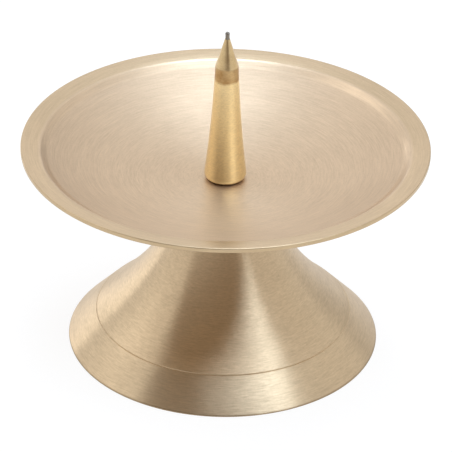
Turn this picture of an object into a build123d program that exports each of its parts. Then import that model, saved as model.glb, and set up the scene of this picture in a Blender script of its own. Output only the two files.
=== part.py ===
# Pricket candle stand in satin brass. A dished drip pan sits on a hollow trumpet foot, and the stem of the
# turned pricket passes through both and is held by a nut inside the foot.
# Millimetres, +Z up, the stand's axis on Z and the table at Z = 0.
from build123d import *
import os

# Foot: a turned shell, open at the table and closed by a web at the top
foot_radius = 38.7
foot_height = 43.6
foot_wall = 2.4            # measured level, from the flank to the hollow
foot_web = 2.5
foot_land = 0.3            # upright edge that stands on the table
band_width = 6.95          # level reach of the plain lower band, from the foot's edge to the turned line
band_height = 7.5          # height of the turned line above the table
line_width = 0.3
line_depth = 0.12
cove_hollow = 3.3          # how far the flank's arc hollows in between the line and the neck

# Drip pan: one disc of sheet, spun to a dish with a flat rim
pan_radius = 50.0
pan_sheet = 1.2
pan_edge_chamfer = 0.25
rim_width = 4.75
rim_fall = 0.75            # the rim falls inwards
shoulder_width = 1.75      # steep step between the rim and the dish
shoulder_fall = 1.25
shoulder_round = 1.5
dish_depth = 7.55
seat_margin = 0.6          # flat middle of the dish, beyond the top of the foot

# Pricket: a turned spike with a conical point, and a stem below it
pricket_base_radius = 5.15
pricket_base_round = 1.0
pricket_shoulder_radius = 2.83
pricket_shoulder_height = 30.8
pricket_waist_hollow = 0.3
pricket_point_height = 38.1
point_lip = 0.06           # brass left round the needle at the point
stem_radius = 3.0
stem_tail = 1.5            # stem that shows below the nut
stem_chamfer = 0.6

# Needle tip: a steel pin set in the point
needle_radius = 0.53
needle_reach = 1.7
needle_depth = 6.0
needle_chamfer = 0.15
needle_clearance = 0.02

# Nut and washers on the stem
hole_clearance = 0.2       # stem to the holes in the pan, the web and the washers
thread_clearance = 0.05    # stem to the nut
washer_radius = 6.0
washer_thickness = 1.6
washer_room = 0.5          # washer to the foot's hollow at the top of the neck
spring_ring_width = 2.4
spring_thickness = 1.6
spring_slit = 0.8
spring_slit_lean = 25.0    # degrees from upright
nut_flats = 10.0
nut_height = 5.0
nut_chamfer = 0.5

# Places that follow from the sizes above
hole_radius = stem_radius + hole_clearance
neck_radius = washer_radius + washer_room + foot_wall
seat_radius = neck_radius + seat_margin
seat_height = foot_height + pan_sheet
washer_top = foot_height - foot_web
spring_top = washer_top - washer_thickness
nut_top = spring_top - spring_thickness
stem_end = nut_top - nut_height - stem_tail
shoulder_outside = pan_radius - rim_width
shoulder_inside = shoulder_outside - shoulder_width


def turned(section):
    """Solid turned about Z from one half of its section, drawn as (radius, height)."""
    return revolve(Plane.XZ * section, Axis.Z)


def ring(inner_radius, outer_radius, bottom, top):
    """Plain ring about Z."""
    return turned(make_face(Polyline((inner_radius, bottom), (outer_radius, bottom), (outer_radius, top),
                                     (inner_radius, top), close=True)))


def filled_to_axis(outline):
    """Section between an outline, drawn from its lower end to its upper end, and the axis."""
    start = outline[0] @ 0
    end = outline[-1] @ 1
    return make_face([*outline, Polyline(end, (0, end.Y), (0, start.Y), start)])


def flank(shift):
    """The foot's flank from the table to the top, moved inwards by shift."""
    edge = foot_radius - shift
    line = (edge - band_width, band_height)
    neck = (neck_radius - shift, foot_height)
    return [Polyline((edge, 0), (edge, foot_land), line), SagittaArc(line, neck, cove_hollow)]


def make_foot():
    web = ring(0, foot_radius, washer_top, foot_height)
    hollow = turned(filled_to_axis(flank(foot_wall))) - web
    line = Vector(foot_radius - band_width, band_height)
    along = (line - Vector(foot_radius, foot_land)).normalized()
    outward = along.rotate(Axis.Z, -90)
    mouth = line + outward * line_depth
    turned_line = turned(make_face(Polyline(line - outward * line_depth, mouth + along * line_width,
                                            mouth - along * line_width, close=True)))
    stem_hole = ring(0, hole_radius, washer_top, foot_height)
    return turned(filled_to_axis(flank(0))) - hollow - turned_line - stem_hole


def pan_surface(drop):
    """Outline of the pan's upper surface from the stem hole to the edge, lowered by drop."""
    level = seat_height - drop
    hole = (hole_radius, level)
    seat = (seat_radius, level)
    corner = (shoulder_inside, level + dish_depth)
    rim_inside = (shoulder_outside, corner[1] + shoulder_fall)
    rim_outside = (pan_radius, rim_inside[1] + rim_fall)
    return [Line(hole, seat), TangentArc(seat, corner, tangent=(1, 0)), Line(corner, rim_inside),
            Line(rim_inside, rim_outside)]


def make_drip_pan():
    top = pan_surface(0)
    underside = pan_surface(pan_sheet)
    hole_wall = Line(underside[0] @ 0, top[0] @ 0)
    edge = Line(top[-1] @ 1, underside[-1] @ 1)
    section = make_face([*top, edge, *underside, hole_wall])
    section = chamfer(section.vertices().group_by(Axis.X)[-1], pan_edge_chamfer)
    inside_corners, outside_corners = section.vertices().group_by(Axis.X)[2:4]
    return turned(fillet(inside_corners + outside_corners, shoulder_round))


def make_pricket():
    base = (pricket_base_radius, seat_height + pricket_base_round)
    underside = (pricket_base_radius - pricket_base_round, seat_height)
    shoulder = (pricket_shoulder_radius, seat_height + pricket_shoulder_height)
    point_radius = needle_radius + needle_clearance + point_lip
    point = (point_radius, seat_height + pricket_point_height)
    outline = [Polyline((stem_radius - stem_chamfer, stem_end), (stem_radius, stem_end + stem_chamfer),
                        (stem_radius, seat_height), underside),
               RadiusArc(underside, base, -pricket_base_round),
               SagittaArc(base, shoulder, pricket_waist_hollow),
               Line(shoulder, point)]
    needle_hole = ring(0, needle_radius + needle_clearance, point[1] - needle_depth, point[1])
    return turned(filled_to_axis(outline)) - needle_hole


def make_needle_tip():
    top = seat_height + pricket_point_height + needle_reach
    bottom = seat_height + pricket_point_height - needle_depth
    pin = ring(0, needle_radius, bottom, top)
    return chamfer(pin.edges().filter_by(GeomType.CIRCLE).sort_by(Axis.Z)[-1], needle_chamfer)


def make_plain_washer():
    return ring(hole_radius, washer_radius, spring_top, washer_top)


def make_spring_washer():
    whole = ring(hole_radius, hole_radius + spring_ring_width, nut_top, spring_top)
    slit_place = Pos(hole_radius + spring_ring_width / 2, 0, (nut_top + spring_top) / 2)
    slit = Box(2 * spring_ring_width, spring_slit, 3 * spring_thickness)
    return whole - slit_place * Rot(spring_slit_lean, 0, 0) * slit


def make_hex_nut():
    bottom = nut_top - nut_height
    hexagon = RegularPolygon(nut_flats / 2, 6, major_radius=False)
    face_radius = nut_flats / 2
    turned_corners = turned(make_face(Polyline(
        (0, bottom), (face_radius, bottom), (hexagon.radius, bottom + nut_chamfer),
        (hexagon.radius, nut_top - nut_chamfer), (face_radius, nut_top), (0, nut_top), close=True)))
    prism = Pos(0, 0, bottom) * extrude(hexagon, nut_height)
    return (prism & turned_corners) - ring(0, stem_radius + thread_clearance, bottom, nut_top)


pieces = {
    "foot": make_foot(),
    "drip_pan": make_drip_pan(),
    "pricket": make_pricket(),
    "needle_tip": make_needle_tip(),
    "plain_washer": make_plain_washer(),
    "spring_washer": make_spring_washer(),
    "hex_nut": make_hex_nut(),
}

os.makedirs("parts", exist_ok=True)
for name, piece in pieces.items():
    export_step(piece, f"parts/{name}.step")
    print(name, "volume", round(piece.volume, 1), "mm3")
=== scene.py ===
# %% [markdown]
# # A pricket candle stand in satin brass
# A pricket stand carries a pillar candle on a spike. Four pieces of this one show: a trumpet foot, a drip pan, the
# pricket, and a steel needle set in the pricket's point. A nut and two washers inside the foot hold them together.
# Everything is turned or spun round one axis, so almost every shape here starts as half of a section and is then
# spun round, as it was on the lathe.

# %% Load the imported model
import math
import bmesh
import bpy
from mathutils import Matrix, Vector


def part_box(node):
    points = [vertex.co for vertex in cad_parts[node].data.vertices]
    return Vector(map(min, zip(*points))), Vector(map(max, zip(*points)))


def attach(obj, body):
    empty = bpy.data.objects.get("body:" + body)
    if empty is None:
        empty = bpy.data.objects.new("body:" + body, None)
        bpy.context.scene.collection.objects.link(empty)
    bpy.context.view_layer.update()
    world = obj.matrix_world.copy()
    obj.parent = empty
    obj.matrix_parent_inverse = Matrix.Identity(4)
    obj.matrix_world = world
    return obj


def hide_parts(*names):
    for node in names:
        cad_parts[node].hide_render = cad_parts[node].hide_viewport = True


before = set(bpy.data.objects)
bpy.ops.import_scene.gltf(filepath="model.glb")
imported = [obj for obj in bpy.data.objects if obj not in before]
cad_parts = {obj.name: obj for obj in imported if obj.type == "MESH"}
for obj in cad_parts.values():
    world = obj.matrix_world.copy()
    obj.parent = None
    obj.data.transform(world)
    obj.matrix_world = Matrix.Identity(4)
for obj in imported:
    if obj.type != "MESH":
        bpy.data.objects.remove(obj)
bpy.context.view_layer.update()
MM = 0.001

# %% [markdown]
# ## Drawing half a section
# A turner works to a template of half the section. A curve with a Screw modifier could do the same, but here the
# template is a chain of points in the XZ plane, drawn with two bmesh operators: extrude_vert_indiv pulls a straight
# line out of the last point, and spin swings the last point round a centre, as a pair of compasses does. Both leave
# an ordinary mesh, so edges can be rounded with bevel later.

# %% Straight lines and arcs of a section
def begin_section(radius, height):
    section = bmesh.new()
    section.verts.new((radius, 0, height))
    return section


def last_point(section):
    section.verts.ensure_lookup_table()
    return section.verts[-1]


def line_to(section, radius, height):
    drawn = bmesh.ops.extrude_vert_indiv(section, verts=[last_point(section)])
    drawn["verts"][0].co = (radius, 0, height)


def arc_to(section, radius, height, compass, steps):
    """Arc to the next point, swung out to the left of the straight way there, or to the right if compass < 0."""
    corner = last_point(section)
    way = Vector((radius, 0, height)) - corner.co
    to_right = Vector((way.z, 0, -way.x)).normalized()
    centre_gap = math.sqrt(compass * compass - way.length_squared / 4)
    centre = corner.co + way / 2 + to_right * math.copysign(centre_gap, compass)
    turn = 2 * math.asin(way.length / 2 / compass)
    bmesh.ops.spin(section, geom=[corner], cent=centre, axis=(0, 1, 0), angle=turn, steps=steps)


def close_section(section):
    section.verts.ensure_lookup_table()
    section.edges.new((section.verts[-1], section.verts[0]))


def compass_for(run, rise, bow):
    """Radius of an arc over run and rise that bows by bow from the straight way."""
    return ((run * run + rise * rise) / 4 + bow * bow) / (2 * bow)


# %% [markdown]
# ## Turning the section round the axis
# One spin through a full turn makes the whole piece, and use_merge joins its end to its start. Points on the axis
# come out once for each step, so doubles are merged before the normals are recalculated. Sharp edges are then broken
# with a small bevel, as a turner does with a file: no edge of a real piece is perfectly sharp, and the thin bright
# line along a rim is the light in that small round.

# %% Spin, round an edge, make the object
def spin_round(section, steps):
    bmesh.ops.spin(section, geom=section.verts[:] + section.edges[:], cent=(0, 0, 0), axis=(0, 0, 1),
                   angle=math.tau, steps=steps, use_merge=True)
    bmesh.ops.remove_doubles(section, verts=section.verts, dist=0.0001 * MM)
    bmesh.ops.recalc_face_normals(section, faces=section.faces)


def ring_at(turned, radius, height):
    def on_ring(point):
        return abs(point.co.xy.length - radius) < 0.002 * MM and abs(point.co.z - height) < 0.002 * MM
    return [edge for edge in turned.edges if all(on_ring(point) for point in edge.verts)]


def round_ring(turned, radius, height, size, segments=4):
    bmesh.ops.bevel(turned, geom=ring_at(turned, radius, height), offset=size, offset_type="OFFSET",
                    segments=segments, profile=0.5, affect="EDGES", material=-1)


def finish_piece(turned, name, crisp_angle=35):
    mesh = bpy.data.meshes.new(name)
    turned.to_mesh(mesh)
    turned.free()
    for face in mesh.polygons:
        face.use_smooth = True
    mesh.set_sharp_from_angle(angle=math.radians(crisp_angle))
    piece = bpy.data.objects.new(name, mesh)
    bpy.context.scene.collection.objects.link(piece)
    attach(piece, "root")
    low, high = (Vector(corner) for corner in (piece.bound_box[0], piece.bound_box[6]))
    print(name, len(mesh.polygons), "faces, size in mm", [round(side / MM, 2) for side in high - low])
    return piece


# %% [markdown]
# ## The foot
# The foot is a hollow trumpet. From the table up it has a narrow upright land, a plain lower band, one fine turned
# line, and a long hollow flank that narrows to the neck. It could be a solid cone, but lifting the real one shows
# the hollow and the nut, so the section goes up the outside, across the top, and down the inside.

# %% Foot: sizes
_, foot_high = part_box("foot")
foot_radius = foot_high.x
foot_top = foot_high.z
foot_wall = 2.4 * MM
foot_web = 2.5 * MM
foot_land = 0.3 * MM
band_width = 6.95 * MM
line_radius = foot_radius - band_width
line_height = 7.5 * MM
neck_radius = 8.9 * MM
flank_bow = 3.3 * MM
stem_hole_radius = 3.2 * MM
web_underside = foot_top - foot_web
flank_compass = compass_for(line_radius - neck_radius, foot_top - line_height, flank_bow)
print("foot radius and height in mm:", round(foot_radius / MM, 2), round(foot_top / MM, 2))

# %% [markdown]
# The turned line is a small V where the lower band meets the flank. Its lower lip lies on the band. Its upper lip and
# the top of the hollow lie on the flank's arc, so one helper finds the arc's radius at any height.

# %% Foot: the outside
flank_chord = Vector((neck_radius - line_radius, foot_top - line_height))
flank_centre = (Vector((line_radius, line_height)) + flank_chord / 2
                + Vector((flank_chord.y, -flank_chord.x)).normalized()
                * math.sqrt(flank_compass ** 2 - flank_chord.length_squared / 4))


def flank_radius(height):
    return flank_centre.x - math.sqrt(flank_compass ** 2 - (height - flank_centre.y) ** 2)


line_reach = 0.16 * MM
line_depth = 0.12 * MM
band_way = Vector((line_radius - foot_radius, line_height - foot_land)).normalized()
upper_lip = line_height + line_reach * band_way.y

foot = begin_section(foot_radius, 0)
line_to(foot, foot_radius, foot_land)
line_to(foot, line_radius - line_reach * band_way.x, line_height - line_reach * band_way.y)
line_to(foot, line_radius - line_depth * band_way.y, line_height + line_depth * band_way.x)
line_to(foot, flank_radius(upper_lip), upper_lip)
arc_to(foot, neck_radius, foot_top, flank_compass, steps=64)
print("flank radius at 10, 20 and 30 mm:", [round(flank_radius(height * MM) / MM, 2) for height in (10, 20, 30)])

# %% Foot: across the top, down the inside, and round
line_to(foot, stem_hole_radius, foot_top)
line_to(foot, stem_hole_radius, web_underside)
line_to(foot, flank_radius(web_underside) - foot_wall, web_underside)
arc_to(foot, line_radius - foot_wall, line_height, -flank_compass, steps=40)
line_to(foot, foot_radius - foot_wall, foot_land)
line_to(foot, foot_radius - foot_wall, 0)
close_section(foot)
spin_round(foot, steps=240)

land_round = 0.1 * MM
table_round = 0.06 * MM
hollow_round = 0.15 * MM
round_ring(foot, foot_radius, foot_land, land_round, segments=3)
round_ring(foot, foot_radius, 0, table_round, segments=2)
round_ring(foot, foot_radius - foot_wall, 0, hollow_round, segments=2)
turned_foot = finish_piece(foot, "turned_foot", crisp_angle=25)
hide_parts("foot")

# %% [markdown]
# ## The drip pan
# The pan is one disc of brass sheet, spun over a form: a small flat seat in the middle, a dish that rises in one long
# arc, a steep shoulder, and a flat rim that falls slightly inwards. Solidify could give the sheet its thickness,
# but drawing both sides keeps the edge upright, as the trimmed edge of a spinning is.

# %% Drip pan: sizes
_, pan_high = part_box("drip_pan")
pan_radius = pan_high.x
pan_sheet = 1.2 * MM
rim_width = 4.75 * MM
rim_fall = 0.75 * MM
shoulder_width = 1.75 * MM
shoulder_fall = 1.25 * MM
dish_depth = 7.55 * MM
seat_radius = 9.5 * MM
seat_height = foot_top + pan_sheet
rim_inside = pan_radius - rim_width
dish_edge = rim_inside - shoulder_width
dish_edge_height = seat_height + dish_depth
rim_inside_height = dish_edge_height + shoulder_fall
rim_height = rim_inside_height + rim_fall
dish_compass = ((dish_edge - seat_radius) ** 2 + dish_depth ** 2) / (2 * dish_depth)
print("seat at", round(seat_height / MM, 2), "mm, rim at", round(rim_height / MM, 2), "mm")

# %% Drip pan: upper side, edge and underside
pan = begin_section(stem_hole_radius, seat_height)
line_to(pan, seat_radius, seat_height)
arc_to(pan, dish_edge, dish_edge_height, -dish_compass, steps=44)
line_to(pan, rim_inside, rim_inside_height)
line_to(pan, pan_radius, rim_height)
line_to(pan, pan_radius, rim_height - pan_sheet)
line_to(pan, rim_inside, rim_inside_height - pan_sheet)
line_to(pan, dish_edge, dish_edge_height - pan_sheet)
arc_to(pan, seat_radius, foot_top, dish_compass, steps=44)
line_to(pan, stem_hole_radius, foot_top)
close_section(pan)
spin_round(pan, steps=288)

# %% Drip pan: soften its bends and break its edge
bend_round = 0.45 * MM
edge_round = 0.26 * MM
for drop in (0, pan_sheet):
    round_ring(pan, rim_inside, rim_inside_height - drop, bend_round, segments=6)
    round_ring(pan, dish_edge, dish_edge_height - drop, bend_round, segments=5)
    round_ring(pan, pan_radius, rim_height - drop, edge_round, segments=4)
spun_pan = finish_piece(pan, "spun_drip_pan")
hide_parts("drip_pan")

# %% [markdown]
# ## The pricket
# The spike that holds the candle has a rounded base that sits in the pan, a long waist that hollows in very slightly,
# a crisp shoulder, and a conical point with a small hole for the needle. Its stem goes down through pan and foot. The
# lower end of the stem is cut thinner here, because its thread is a piece of its own.

# %% Pricket: sizes
pricket_low, pricket_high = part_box("pricket")
stem_end = pricket_low.z
point_height = pricket_high.z
pricket_base_radius = pricket_high.x
pricket_base_round = 1.6 * MM
base_height = seat_height + pricket_base_round
shoulder_radius = 2.83 * MM
shoulder_height = seat_height + 30.8 * MM
waist_bow = 0.3 * MM
waist_compass = compass_for(pricket_base_radius - shoulder_radius, shoulder_height - base_height, waist_bow)
point_radius = 0.61 * MM
needle_hole_radius = 0.55 * MM
needle_depth = 6.0 * MM
stem_radius = 3.0 * MM
stem_chamfer = 0.25 * MM
thread_root = 2.45 * MM
thread_length = 9.0 * MM
thread_runout = 0.4 * MM
print("pricket from", round(stem_end / MM, 2), "to", round(point_height / MM, 2), "mm")

# %% Pricket: section and spin
pricket = begin_section(0, stem_end)
line_to(pricket, thread_root - stem_chamfer, stem_end)
line_to(pricket, thread_root, stem_end + stem_chamfer)
line_to(pricket, thread_root, stem_end + thread_length)
line_to(pricket, stem_radius, stem_end + thread_length + thread_runout)
line_to(pricket, stem_radius, seat_height)
line_to(pricket, pricket_base_radius - pricket_base_round, seat_height)
arc_to(pricket, pricket_base_radius, base_height, -pricket_base_round, steps=10)
arc_to(pricket, shoulder_radius, shoulder_height, waist_compass, steps=30)
line_to(pricket, point_radius, point_height)
line_to(pricket, needle_hole_radius, point_height)
line_to(pricket, needle_hole_radius, point_height - needle_depth)
line_to(pricket, 0, point_height - needle_depth)
spin_round(pricket, steps=144)

shoulder_round = 0.1 * MM
round_ring(pricket, shoulder_radius, shoulder_height, shoulder_round, segments=2)
turned_pricket = finish_piece(pricket, "turned_pricket", crisp_angle=20)
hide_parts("pricket")

# %% [markdown]
# ## The thread on the stem
# The nut needs a thread. Nobody sees it inside the nut, but its end shows below the nut when the stand is turned over.
# A spin that also climbs, with dvec, makes a helix: a small tooth goes round and rises by the pitch in every turn.

# %% Thread: spin a tooth and climb
thread_pitch = 1.0 * MM
thread_steps = 48
thread_turns = 7
first_tooth = stem_end + 0.62 * MM
tooth_foot = 0.46 * thread_pitch
tooth_flat = 0.08 * thread_pitch
tooth_inside = thread_root - 0.05 * MM
tooth_outside = stem_radius - 0.03 * MM

thread = begin_section(tooth_inside, first_tooth - tooth_foot)
line_to(thread, tooth_outside, first_tooth - tooth_flat)
line_to(thread, tooth_outside, first_tooth + tooth_flat)
line_to(thread, tooth_inside, first_tooth + tooth_foot)
close_section(thread)
tooth = bmesh.ops.contextual_create(thread, geom=thread.verts[:] + thread.edges[:])["faces"]
bmesh.ops.spin(thread, geom=tooth, cent=(0, 0, 0), axis=(0, 0, 1), dvec=(0, 0, thread_pitch / thread_steps),
               angle=math.tau * thread_turns, steps=thread_steps * thread_turns)
bmesh.ops.remove_doubles(thread, verts=thread.verts, dist=0.0001 * MM)
bmesh.ops.recalc_face_normals(thread, faces=thread.faces)
stem_thread = finish_piece(thread, "stem_thread")

# %% [markdown]
# ## The needle
# A short piece of steel wire, pressed into the point, takes the candle without bending as soft brass would. It was cut
# off with cutters, so its end is a little upset rather than sharp.

# %% Needle: section and spin
needle_low, needle_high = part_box("needle_tip")
needle_radius = needle_high.x
needle_top = needle_high.z
needle_lip = needle_top - 0.22 * MM
wire_radius = needle_radius * 0.98
upset_radius = needle_radius * 1.06
face_radius = needle_radius * 0.8
lip_round = 0.08 * MM

needle = begin_section(0, needle_low.z)
line_to(needle, needle_radius, needle_low.z)
line_to(needle, wire_radius, point_height + 0.1 * MM)
line_to(needle, wire_radius, needle_top - 0.7 * MM)
line_to(needle, upset_radius, needle_lip)
line_to(needle, face_radius, needle_top)
line_to(needle, 0, needle_top - 0.04 * MM)
spin_round(needle, steps=64)
round_ring(needle, upset_radius, needle_lip, lip_round, segments=3)
steel_needle = finish_piece(needle, "steel_needle")
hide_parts("needle_tip")

# %% [markdown]
# ## Node helpers
# The finishes below are node trees. A few short helpers add one node each and join it up, so that a finish reads like
# a recipe. A value that is the same all over goes straight onto the node's own socket.

# %% Helpers for node trees
def new_finish(name):
    finish = bpy.data.materials.new(name)
    finish.use_nodes = True
    return finish, finish.node_tree.nodes, finish.node_tree.links


def set_or_link(links, socket, value):
    if isinstance(value, bpy.types.NodeSocket):
        links.new(value, socket)
    else:
        socket.default_value = value


def add_math(nodes, links, operation, *values):
    node = nodes.new("ShaderNodeMath")
    node.operation = operation
    for socket, value in zip(node.inputs, values):
        set_or_link(links, socket, value)
    return node.outputs[0]


def add_sum(nodes, links, *parts):
    total = 0.0
    for value, share in parts:
        total = add_math(nodes, links, "MULTIPLY_ADD", value, share, total)
    return total


def add_range(nodes, links, value, from_low, from_high, to_low, to_high):
    node = nodes.new("ShaderNodeMapRange")
    for name, number in zip(("Value", "From Min", "From Max", "To Min", "To Max"),
                            (value, from_low, from_high, to_low, to_high)):
        set_or_link(links, node.inputs[name], number)
    return node.outputs["Result"]


def add_colours(nodes, links, value, dark, light, low=0.3, high=0.7):
    node = nodes.new("ShaderNodeValToRGB")
    set_or_link(links, node.inputs["Fac"], value)
    for element, place, colour in zip(node.color_ramp.elements, (low, high), (dark, light)):
        element.position = place
        element.color = (*colour, 1)
    return node.outputs["Color"]


def add_tint(nodes, links, mask, colour, tint):
    """Colour, multiplied by tint where mask is 1, so that the grain shows through."""
    node = nodes.new("ShaderNodeMix")
    node.data_type = "RGBA"
    node.blend_type = "MULTIPLY"
    links.new(mask, node.inputs["Factor"])
    links.new(colour, node.inputs["A"])
    node.inputs["B"].default_value = (*tint, 1)
    return node.outputs["Result"]


def add_bump(nodes, links, height, strength, depth):
    node = nodes.new("ShaderNodeBump")
    node.inputs["Strength"].default_value = strength
    node.inputs["Distance"].default_value = depth
    links.new(height, node.inputs["Height"])
    return node.outputs[0]


# %% [markdown]
# ## Satin brass
# The foot and the pan were brushed while they turned, so their grain runs round the axis. Such a surface spreads a
# reflection across the grain and keeps it sharp along it, which gives the fans of light on the pan and the upright
# bands on the foot. Principled BSDF does this with Anisotropic and a tangent that runs round Z. The grain itself is a
# noise drawn out round the axis: its coordinates are the radius and the height, at the scale of the brush, and
# the direction round the axis, at a far coarser scale. The direction goes in as its cosine and sine, so there is no
# seam.

# %% Grain that runs round the axis
def add_round_place(nodes, links):
    """Radius and height in metres, and the direction round Z as cosine and sine."""
    split = nodes.new("ShaderNodeSeparateXYZ")
    links.new(nodes.new("ShaderNodeTexCoord").outputs["Object"], split.inputs[0])
    x, y, height = split.outputs
    squares = [add_math(nodes, links, "MULTIPLY", side, side) for side in (x, y)]
    radius = add_math(nodes, links, "SQRT", add_math(nodes, links, "ADD", *squares))
    divisor = add_math(nodes, links, "MAXIMUM", radius, 0.1 * MM)
    return radius, height, *(add_math(nodes, links, "DIVIDE", side, divisor) for side in (x, y))


def add_grain(nodes, links, round_place, across, along, detail):
    """Noise with lines of about 1 / across metres, which change along the grain about every 1 / along radians."""
    radius, height, cosine, sine = round_place
    where = nodes.new("ShaderNodeCombineXYZ")
    for socket, value, scale in zip(where.inputs, (radius, height, cosine), (across, across, along)):
        links.new(add_math(nodes, links, "MULTIPLY", value, scale), socket)
    noise = nodes.new("ShaderNodeTexNoise")
    noise.noise_dimensions = "4D"
    noise.inputs["Scale"].default_value = 1.0
    noise.inputs["Detail"].default_value = detail
    links.new(where.outputs[0], noise.inputs["Vector"])
    links.new(add_math(nodes, links, "MULTIPLY", sine, along), noise.inputs["W"])
    return noise.outputs["Fac"]


def add_cloud(nodes, links, scale):
    noise = nodes.new("ShaderNodeTexNoise")
    noise.inputs["Scale"].default_value = scale
    noise.inputs["Detail"].default_value = 4.0
    links.new(nodes.new("ShaderNodeTexCoord").outputs["Object"], noise.inputs["Vector"])
    return noise.outputs["Fac"]


# %% [markdown]
# One recipe serves all the brass. Short fine scratches, longer turning marks and specks are mixed into one grain, which
# drives a bump of a few hundredths of a millimetre. With a slow cloud of tarnish they also shift the colour and the
# roughness a little from place to place. Each piece then gets tints of its own, for stains and for painted shade: a
# mask that says where, and a tint that the brass is multiplied by, so that the grain shows through.

# %% Brass: metal with a grain round the axis
def set_brushed_metal(nodes, links, spread):
    shader = nodes["Principled BSDF"]
    shader.inputs["Metallic"].default_value = 1.0
    shader.inputs["Anisotropic"].default_value = spread
    shader.inputs["Anisotropic Rotation"].default_value = 0.25
    tangent = nodes.new("ShaderNodeTangent")
    tangent.direction_type = "RADIAL"
    tangent.axis = "Z"
    links.new(tangent.outputs[0], shader.inputs["Tangent"])
    return shader


# %% Brass: colour, roughness and bump
streaks_per_metre = 3400.0
rings_per_metre = 500.0
specks_per_metre = 1900.0
tarnish_per_metre = 55.0
ring_turns = 1.2
grain_detail = 2.0
dull_tone, bright_tone = 0.35, 0.65
roughness_play = 0.03
finer_by = 0.15
finer_way = 0.6 * MM


def make_brass(name, colour, roughness, spread, streak_turns, contrast, depth, tints, finer_from=None):
    finish, nodes, links = new_finish(name)
    shader = set_brushed_metal(nodes, links, spread)
    round_place = add_round_place(nodes, links)
    streaks = add_grain(nodes, links, round_place, streaks_per_metre, streak_turns, grain_detail)
    rings = add_grain(nodes, links, round_place, rings_per_metre, ring_turns, grain_detail)
    specks = add_cloud(nodes, links, specks_per_metre)
    tarnish = add_cloud(nodes, links, tarnish_per_metre)
    grain = add_sum(nodes, links, (streaks, 0.7), (rings, 0.2), (specks, 0.1))
    tone = add_sum(nodes, links, (streaks, 0.5), (rings, 0.15), (specks, 0.2), (tarnish, 0.15))
    dull = [part * (1 - contrast) for part in colour]
    bright = [part * (1 + contrast) for part in colour]
    tinted = add_colours(nodes, links, tone, dull, bright, dull_tone, bright_tone)
    for mask, tint in tints:
        tinted = add_tint(nodes, links, mask(nodes, links, round_place), tinted, tint)
    links.new(tinted, shader.inputs["Base Color"])
    dullness = add_range(nodes, links, tone, dull_tone, bright_tone, roughness + roughness_play,
                         roughness - roughness_play)
    if finer_from:
        finer = add_range(nodes, links, round_place[0], finer_from - finer_way, finer_from, 0.0, -finer_by)
        dullness = add_math(nodes, links, "ADD", dullness, finer)
    links.new(dullness, shader.inputs["Roughness"])
    links.new(add_bump(nodes, links, grain, 1.0, depth), shader.inputs["Normal"])
    print(name, "has", len(nodes), "nodes")
    return finish


# %% [markdown]
# Hands and candles leave their traces, and some shade is painted in as well. The foot's turned line and its land are
# painted darker, as the shade in the groove and where the foot meets the table. A thin film of old wax dulls the dish,
# while the shoulder above it is rubbed bright and the rim has yellowed; the pan's outer edge is painted darker as
# shade, which also dims the highlight on its round. Below the pricket's shoulder the metal is made darker and browner
# in a band with a ragged lower edge, and the crevice under its base is painted dark as shade. Painted image masks would
# do as well, but radius and height already say where everything is on a turned piece.

# %% Stains and painted shade of the single pieces
band_edge_height = shoulder_height - 3.7 * MM
film_start = 30.0 * MM


def painted_shade_on_foot(nodes, links, round_place):
    gap = add_math(nodes, links, "ABSOLUTE", add_math(nodes, links, "SUBTRACT", round_place[1], line_height))
    # Painted shade: the turned line is darkened a little, as shade in its groove, and the land more, where it meets the
    # table.
    in_line = add_range(nodes, links, gap, 0.04 * MM, 0.13 * MM, 0.1, 0.0)
    on_land = add_range(nodes, links, round_place[1], foot_land, foot_land + 0.25 * MM, 0.7, 0.0)
    return add_math(nodes, links, "MAXIMUM", in_line, on_land)


def film_in_dish(nodes, links, round_place):
    thicker_outwards = add_range(nodes, links, round_place[0], film_start, dish_edge, 0.4, 0.6)
    in_dish = add_range(nodes, links, round_place[0], dish_edge - 0.5 * MM, dish_edge, 1.0, 0.0)
    return add_math(nodes, links, "MULTIPLY", thicker_outwards, in_dish)


def yellow_rim_and_shaded_edge(nodes, links, round_place):
    on_rim = add_range(nodes, links, round_place[0], rim_inside, rim_inside + 0.7 * MM, 0.0, 0.6)
    # Painted shade: the outer edge, its round and upright face, is darkened, which also dims the highlight on the
    # round.
    on_edge = add_range(nodes, links, round_place[0], pan_radius - 0.4 * MM, pan_radius - 0.1 * MM, 0.0, 1.0)
    return add_math(nodes, links, "MAXIMUM", on_rim, on_edge)


def shade_and_band_on_pricket(nodes, links, round_place):
    height = round_place[1]
    # Painted shade: the crevice under the base, where it sits on the pan, is darkened.
    under_base = add_range(nodes, links, height, seat_height + 0.15 * MM, seat_height + 0.8 * MM, 0.8, 0.0)
    # Above a ragged edge below the shoulder, the metal is made darker and browner in a band.
    patches = add_cloud(nodes, links, 260.0)
    ragged = add_math(nodes, links, "MULTIPLY_ADD", patches, 2.0 * MM, height)
    above_edge = add_range(nodes, links, ragged, band_edge_height + 0.8 * MM, band_edge_height + 1.5 * MM, 0.0, 1.0)
    to_shoulder = add_range(nodes, links, height, shoulder_height, shoulder_height + 0.2 * MM, 1.0, 0.65)
    strength = add_range(nodes, links, patches, 0.3, 0.7, 0.45, 0.85)
    dark_band = add_math(nodes, links, "MULTIPLY", add_math(nodes, links, "MULTIPLY", above_edge, to_shoulder), strength)
    return add_math(nodes, links, "MAXIMUM", under_base, dark_band)


# %% Brass of the foot, the pan and the pricket
foot_colour = (0.635, 0.487, 0.315)
pan_colour = (0.684, 0.524, 0.364)
rod_colour = (0.885, 0.715, 0.41)
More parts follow.
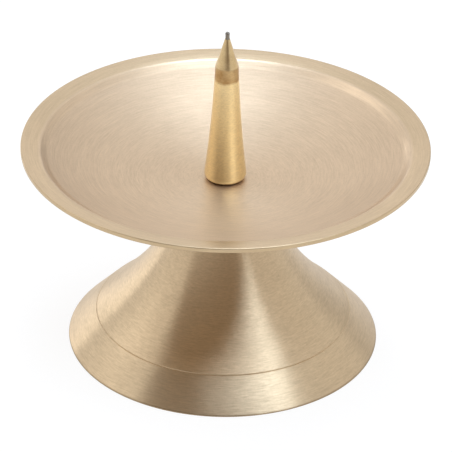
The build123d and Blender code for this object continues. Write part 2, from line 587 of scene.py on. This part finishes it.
# Painted shade: the foot's tint darkens its line and land, the pan's second tint its edge, the pricket's its crevice.
foot_brass = make_brass("satin_brass_foot", foot_colour, roughness=0.35, spread=0.89, streak_turns=15.0,
                        contrast=0.13, depth=0.04 * MM, tints=[(painted_shade_on_foot, (0.41, 0.37, 0.32))])
pan_brass = make_brass("satin_brass_pan", pan_colour, roughness=0.47, spread=0.45, streak_turns=8.0,
                       contrast=0.1, depth=0.06 * MM, finer_from=dish_edge + 0.3 * MM,
                       tints=[(film_in_dish, (0.85, 0.84, 0.84)), (yellow_rim_and_shaded_edge, (0.84, 0.825, 0.73))])
pricket_brass = make_brass("turned_brass_pricket", rod_colour, roughness=0.3, spread=0.3, streak_turns=6.0,
                           contrast=0.12, depth=0.02 * MM, tints=[(shade_and_band_on_pricket, (0.33, 0.17, 0.04))])
turned_foot.data.materials.append(foot_brass)
spun_pan.data.materials.append(pan_brass)
for piece in (turned_pricket, stem_thread):
    piece.data.materials.append(pricket_brass)

# %% [markdown]
# ## Steel
# The needle is plain drawn wire, grey and a little dull. The nut and the washers are zinc plated: paler, bluish and
# cloudy, because the plating takes differently from spot to spot. Plain noise on Object coordinates is enough.

# %% Steel finishes
def make_steel(name, dark, light, roughness, scale):
    finish, nodes, links = new_finish(name)
    shader = nodes["Principled BSDF"]
    shader.inputs["Metallic"].default_value = 1.0
    cloud = add_cloud(nodes, links, scale)
    links.new(add_colours(nodes, links, cloud, dark, light), shader.inputs["Base Color"])
    links.new(add_range(nodes, links, cloud, 0.3, 0.7, roughness + 0.1, roughness - 0.08),
              shader.inputs["Roughness"])
    links.new(add_bump(nodes, links, cloud, 0.3, 0.01 * MM), shader.inputs["Normal"])
    print(name, "has", len(nodes), "nodes")
    return finish


needle_steel = make_steel("drawn_steel_needle", (0.19, 0.17, 0.145), (0.32, 0.295, 0.26), 0.38, 2200.0)
zinc_steel = make_steel("zinc_plated_steel", (0.50, 0.51, 0.53), (0.68, 0.69, 0.71), 0.32, 420.0)
steel_needle.data.materials.append(needle_steel)
for node in ("hex_nut", "spring_washer", "plain_washer"):
    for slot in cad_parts[node].material_slots:
        slot.material = zinc_steel

# %% [markdown]
# ## Camera
# The photograph was taken from about 31 degrees above the table with a long lens, and tilted by one degree. A long lens
# is a camera far away with a narrow view, so the ellipses of rim and foot have nearly the same shape.

# %% Camera
image_side = 452
focal_pixels = 3232.2
sensor_width = 36.0
camera_distance = 0.8
camera_height_angle = math.radians(30.65)
camera_roll = math.radians(0.98)
aim = Vector((0.41, 0, 30.85)) * MM

looking = Vector((0, math.cos(camera_height_angle), -math.sin(camera_height_angle)))
level_right = Vector((1, 0, 0))
level_up = level_right.cross(looking)
right = level_right * math.cos(camera_roll) + level_up * math.sin(camera_roll)
up = level_up * math.cos(camera_roll) - level_right * math.sin(camera_roll)
camera_data = bpy.data.cameras.new("camera")
camera_data.sensor_width = sensor_width
camera_data.lens = sensor_width * focal_pixels / image_side
camera_data.clip_end = 20.0
camera = bpy.data.objects.new("camera", camera_data)
camera.matrix_world = (Matrix.Translation(aim - looking * camera_distance)
                       @ Matrix((right, up, -looking)).transposed().to_4x4())
bpy.context.scene.collection.objects.link(camera)
bpy.context.scene.camera = camera
print("camera lens", round(camera_data.lens, 1), "mm at", [round(value, 3) for value in camera.location])

# %% [markdown]
# ## Floor
# A plain white sheet. The camera and the brass see it as white, and a soft shadow stays under the foot: the sheet is a
# diffuse surface with some light of its own for those rays, so that it clips to white only where nothing shades it.
# From below it is clear, so that the underside of the stand can be looked at.

# %% Floor
def add_card(name, width, depth):
    sheet = bmesh.new()
    bmesh.ops.create_grid(sheet, x_segments=1, y_segments=1, size=0.5)
    bmesh.ops.scale(sheet, vec=(width, depth, 1), verts=sheet.verts)
    mesh = bpy.data.meshes.new(name)
    sheet.to_mesh(mesh)
    sheet.free()
    card = bpy.data.objects.new(name, mesh)
    bpy.context.scene.collection.objects.link(card)
    return card


paper_grey = 0.2
paper_glow = 0.84
floor = add_card("floor", 6.0, 6.0)
floor_paper, nodes, links = new_finish("floor_paper")
nodes.remove(nodes["Principled BSDF"])
rays = nodes.new("ShaderNodeLightPath").outputs
seen = add_math(nodes, links, "MAXIMUM", rays["Is Camera Ray"],
                add_math(nodes, links, "MAXIMUM", rays["Is Glossy Ray"], rays["Is Transmission Ray"]))
paper = nodes.new("ShaderNodeBsdfDiffuse")
paper.inputs["Color"].default_value = (paper_grey, paper_grey, paper_grey, 1)
glow = nodes.new("ShaderNodeEmission")
links.new(add_math(nodes, links, "MULTIPLY", seen, paper_glow), glow.inputs["Strength"])
white = nodes.new("ShaderNodeAddShader")
links.new(paper.outputs[0], white.inputs[0])
links.new(glow.outputs[0], white.inputs[1])
clear_below = nodes.new("ShaderNodeMixShader")
links.new(nodes.new("ShaderNodeNewGeometry").outputs["Backfacing"], clear_below.inputs["Fac"])
links.new(white.outputs[0], clear_below.inputs[1])
links.new(nodes.new("ShaderNodeBsdfTransparent").outputs[0], clear_below.inputs[2])
links.new(clear_below.outputs[0], nodes["Material Output"].inputs["Surface"])
floor.data.materials.append(floor_paper)

# %% [markdown]
# ## Light
# Brass has almost no look of its own: what shows is the room that it mirrors. A photographer builds that room from pale
# walls, soft boxes and cards. Here the world is the pale walls. An image of a studio could take their place, but boxes
# and cards can be moved one by one until each reflection falls where it should.

# %% Pale walls all round
wall_level = 0.82
world = bpy.data.worlds.new("pale_walls")
bpy.context.scene.world = world
world.use_nodes = True
world.node_tree.nodes["Background"].inputs["Color"].default_value = (1, 1, 1, 1)
world.node_tree.nodes["Background"].inputs["Strength"].default_value = wall_level

# %% Putting lamps and cards round the stand
stand_middle = Vector((0, 0, 35)) * MM
white_watts = 4  # for each square metre of a box as bright as white paper


def put_round(thing, azimuth, height_angle, distance, roll=0):
    """Face the stand from an azimuth, 0 on the camera's side and + to its right, and a height in degrees."""
    turn = (Matrix.Rotation(math.radians(azimuth), 4, "Z") @ Matrix.Rotation(math.radians(90 - height_angle), 4, "X")
            @ Matrix.Rotation(math.radians(roll), 4, "Z"))
    thing.matrix_world = Matrix.Translation(stand_middle) @ turn @ Matrix.Translation((0, 0, distance))


def add_soft_box(name, width, depth, level, tint):
    """Lamp whose surface adds level times the brightness of white paper."""
    lamp_data = bpy.data.lights.new(name, "AREA")
    lamp_data.shape = "RECTANGLE"
    lamp_data.size = width
    lamp_data.size_y = depth
    lamp_data.energy = white_watts * width * depth * level
    lamp_data.color = tint
    lamp = bpy.data.objects.new(name, lamp_data)
    bpy.context.scene.collection.objects.link(lamp)
    lamp.visible_camera = False
    return lamp


def add_shade(name, width, depth, colour):
    """Card that the brass sees as colour, and the camera doesn't see."""
    card = add_card(name, width, depth)
    paint, nodes, links = new_finish(name + "_paint")
    nodes.remove(nodes["Principled BSDF"])
    glow = nodes.new("ShaderNodeEmission")
    glow.inputs["Color"].default_value = (*colour, 1)
    links.new(glow.outputs[0], nodes["Material Output"].inputs["Surface"])
    card.data.materials.append(paint)
    card.visible_camera = False
    return card


# %% [markdown]
# The boxes over the stand make the fan of light behind the pricket and light the back of the shoulder. The box on the
# right draws the bright band on the foot. The others are faint, and lift the left side of the foot, the shoulder on
# the right, and the front of the dish. Of the cards, the dark one on the camera's side draws the dark wedge on the
# foot, and the grey ones keep the right side of the foot and the left shoulder from being too pale. The camera sees
# neither boxes nor cards.

# %% Soft boxes
cool_white = (0.80, 1.0, 1.27)
plain_white = (1.0, 1.0, 1.0)
ceiling_box = add_soft_box("ceiling_box", 2.4, 2.4, 0.1, cool_white)
ceiling_box.location = (0.2, 0.4, 1.15)
zenith_box = add_soft_box("zenith_box", 0.66, 0.5, 0.6, cool_white)
zenith_box.location = (0, 0.05, 1.05)
overhead_box = add_soft_box("overhead_box", 0.24, 0.5, 3.0, cool_white)
overhead_box.location = (0.03, 0.42, 1.0)
right_box = add_soft_box("right_box", 1.28, 0.96, 1.6, cool_white)
put_round(right_box, 27, 52, 1.3, -14.4)
left_box = add_soft_box("left_box", 1.9, 0.78, 0.16, plain_white)
put_round(left_box, -86, 27, 1.5)
high_box = add_soft_box("high_box", 0.9, 0.8, 0.4, plain_white)
put_round(high_box, -113, 45, 1.4)
back_box = add_soft_box("back_box", 0.9, 0.3, 0.35, plain_white)
put_round(back_box, 180, 22, 1.5)
low_box = add_soft_box("low_box", 0.8, 0.4, 1.0, plain_white)
put_round(low_box, -141, 6, 1.5)

# %% Dark and grey cards
dark_card = add_shade("dark_card", 1.76, 0.86, (0.15, 0.097, 0.055))
put_round(dark_card, -10.5, 31.5, 0.9, -22)
right_card = add_shade("right_card", 2.2, 0.9, (0.83, 0.82, 0.81))
put_round(right_card, 117, 27, 1.5)
back_card = add_shade("back_card", 1.5, 0.45, (0.5, 0.49, 0.48))
put_round(back_card, 148, 9, 1.45)

# %% [markdown]
# ## Last
# The view transform is Standard, so that colours come out as they are written.

# %% View settings
bpy.context.scene.view_settings.view_transform = "Standard"
